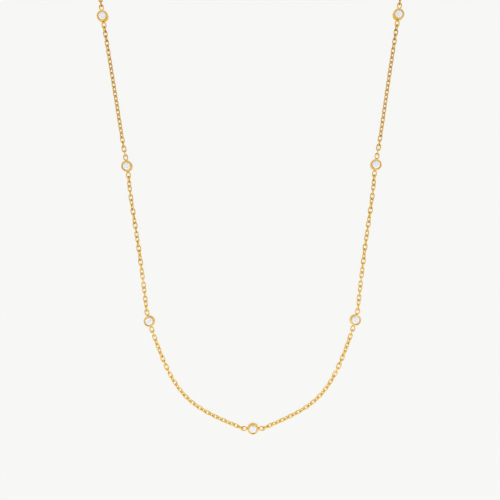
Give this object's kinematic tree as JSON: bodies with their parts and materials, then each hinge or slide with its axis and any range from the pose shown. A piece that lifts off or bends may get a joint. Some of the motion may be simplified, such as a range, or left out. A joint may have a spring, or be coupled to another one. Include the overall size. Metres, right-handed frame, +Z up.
{
  "type": "station necklace",
  "caption": "Fine oval-link gold chain lying flat in one long loop, with small round bezel-set clear stones spaced along it and a plain ring clasp at the back.",
  "frame": {"origin": "middle of the necklace's bounding box in X and Y, on the flat surface that it lies on", "axes": "+Y from the front stone to the clasp, +Z up from the surface, the way the stones face, +X across the loop, to the right when seen from above with the front stone nearest"},
  "size_m": [0.0982, 0.1836, 0.002],
  "materials": {
    "setting_gold": "polished yellow gold, plated",
    "chain_gold": "polished yellow gold wire, plated",
    "clasp_gold": "polished yellow gold, plated",
    "stone": "clear round brilliant, polished"
  },
  "bodies": {
    "root": {"setting_front": "setting_gold", "setting_right_low": "setting_gold", "setting_right_mid": "setting_gold", "setting_right_top": "setting_gold", "setting_left_low": "setting_gold", "setting_left_mid": "setting_gold", "setting_left_top": "setting_gold", "stone_front": "stone", "stone_right_low": "stone", "stone_right_mid": "stone", "stone_right_top": "stone", "stone_left_low": "stone", "stone_left_mid": "stone", "stone_left_top": "stone", "chain_right_low": "chain_gold", "chain_right_mid": "chain_gold", "chain_right_top": "chain_gold", "chain_left_low": "chain_gold", "chain_left_mid": "chain_gold", "chain_left_top": "chain_gold", "chain_right_back": "chain_gold", "chain_left_back": "chain_gold", "clasp": "clasp_gold"}
  },
  "joints": []
}
